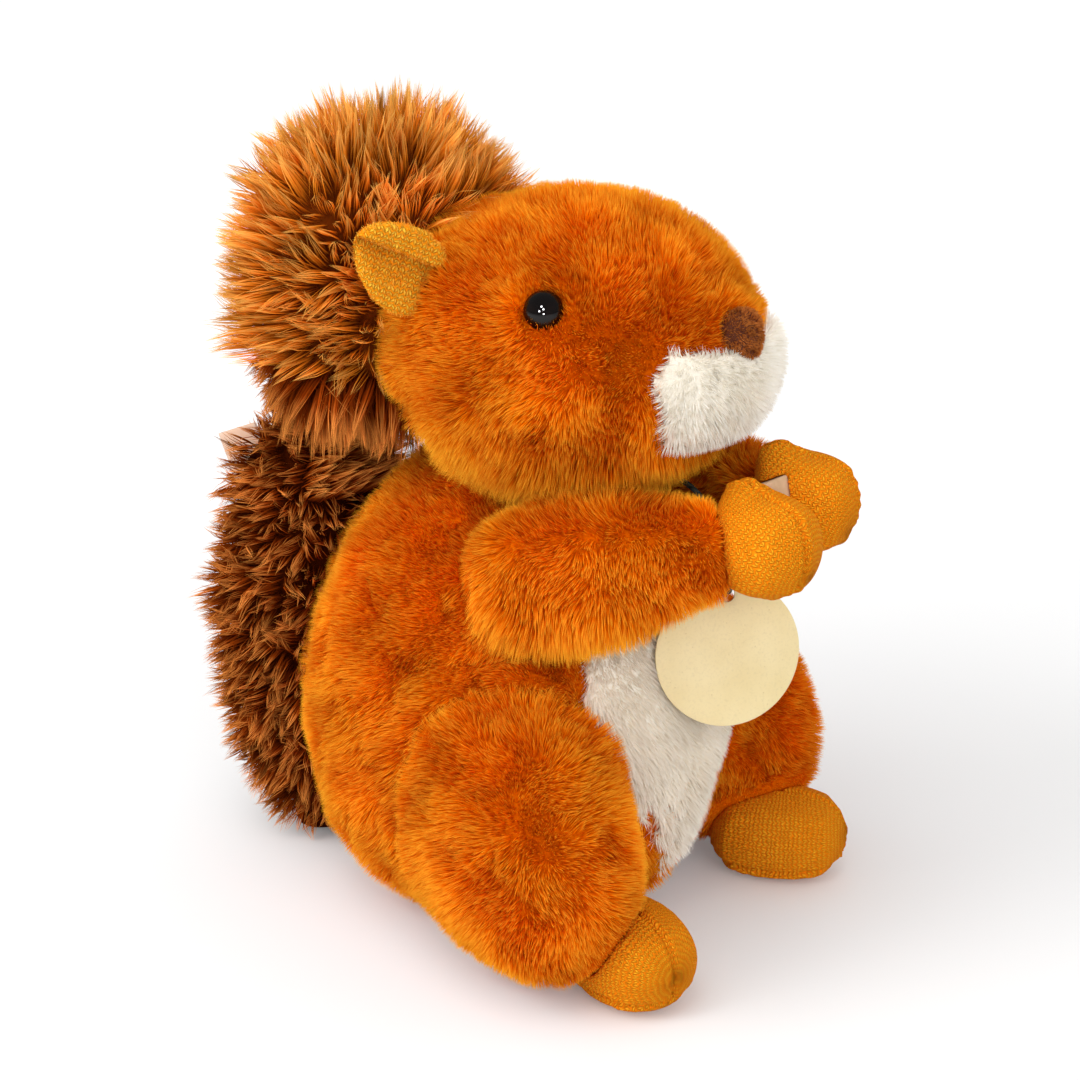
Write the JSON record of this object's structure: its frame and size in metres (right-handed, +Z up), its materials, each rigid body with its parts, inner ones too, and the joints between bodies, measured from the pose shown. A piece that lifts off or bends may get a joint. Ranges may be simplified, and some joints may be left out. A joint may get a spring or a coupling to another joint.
{
  "type": "plush squirrel",
  "caption": "Sitting plush squirrel with a bushy two-lobed tail, white muzzle and belly, knitted paws and feet, safety eyes and a round hang tag on a neck cord.",
  "frame": {"origin": "on the flat underside of the torso, in the middle plane of the toy, where it sits on the table", "axes": "+Z up, the squirrel faces -Y, and its left side is +X"},
  "size_m": [0.1532, 0.2029, 0.2273],
  "materials": {
    "fur": "combed orange plush pile, lighter at the tips",
    "white_plush": "short white plush pile",
    "nose_felt": "short brown velvet pile",
    "ear_cloth": "short looped terry cloth",
    "knit": "orange knitted cloth with small stitches",
    "eye_plastic": "polished black plastic dome",
    "washer_plastic": "moulded natural plastic",
    "tail_fur_tan": "long pointed tan pile in clumps",
    "tail_fur_brown": "dark red-brown pile with lighter tips",
    "label_satin": "folded satin ribbon",
    "nut_felt": "speckled beige felt over a firm core",
    "tag_card": "uncoated cream card",
    "cord": "dark olive woven cord"
  },
  "bodies": {
    "root": {"torso": "fur", "head": "fur", "arm_right": "fur", "arm_left": "fur", "thigh_right": "fur", "thigh_left": "fur", "belly_panel": "white_plush", "muzzle": "white_plush", "nose": "nose_felt", "ear_right": "ear_cloth", "ear_left": "ear_cloth", "paw_right": "knit", "paw_left": "knit", "foot_right": "knit", "foot_left": "knit", "eye_right": "eye_plastic", "eye_left": "eye_plastic", "eye_washer_right": "washer_plastic", "eye_washer_left": "washer_plastic", "tail_upper": "tail_fur_tan", "tail_lower": "tail_fur_brown", "care_label": "label_satin", "nut": "nut_felt", "hang_tag": "tag_card", "neck_cord": "cord"}
  },
  "joints": []
}
